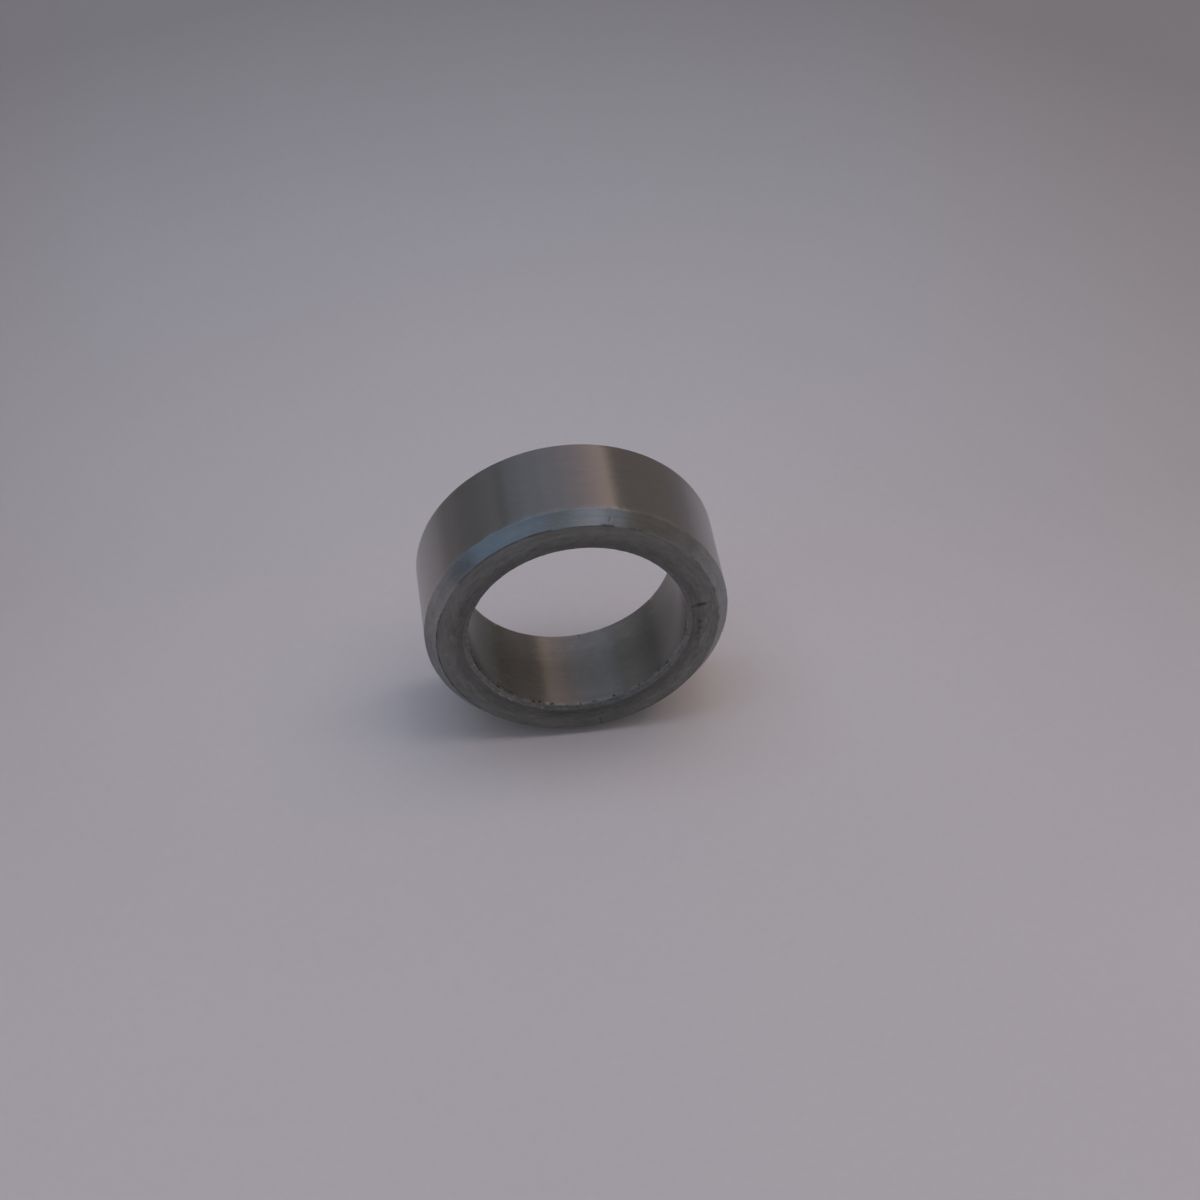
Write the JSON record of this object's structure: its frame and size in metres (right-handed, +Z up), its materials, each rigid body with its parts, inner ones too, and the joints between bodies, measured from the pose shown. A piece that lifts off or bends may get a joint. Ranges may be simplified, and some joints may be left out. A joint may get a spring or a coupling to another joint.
{
  "type": "plain shaft collar",
  "caption": "Plain turned steel shaft collar: a solid ring pressed on a shaft to hold a bearing, with one chamfered outer edge.",
  "frame": {"origin": "centre of the bore, at half the ring's width", "axes": "+Y along the bore's axis, from the chamfered front face to the plain back face; +Z up, with the ring standing on its rim; +X to the right seen from the front"},
  "size_m": [0.05, 0.0176, 0.05],
  "materials": {
    "turned_steel": "bare steel, fine turning marks round the axis, darker on the end faces"
  },
  "bodies": {
    "root": {"collar_ring": "turned_steel"}
  },
  "joints": []
}
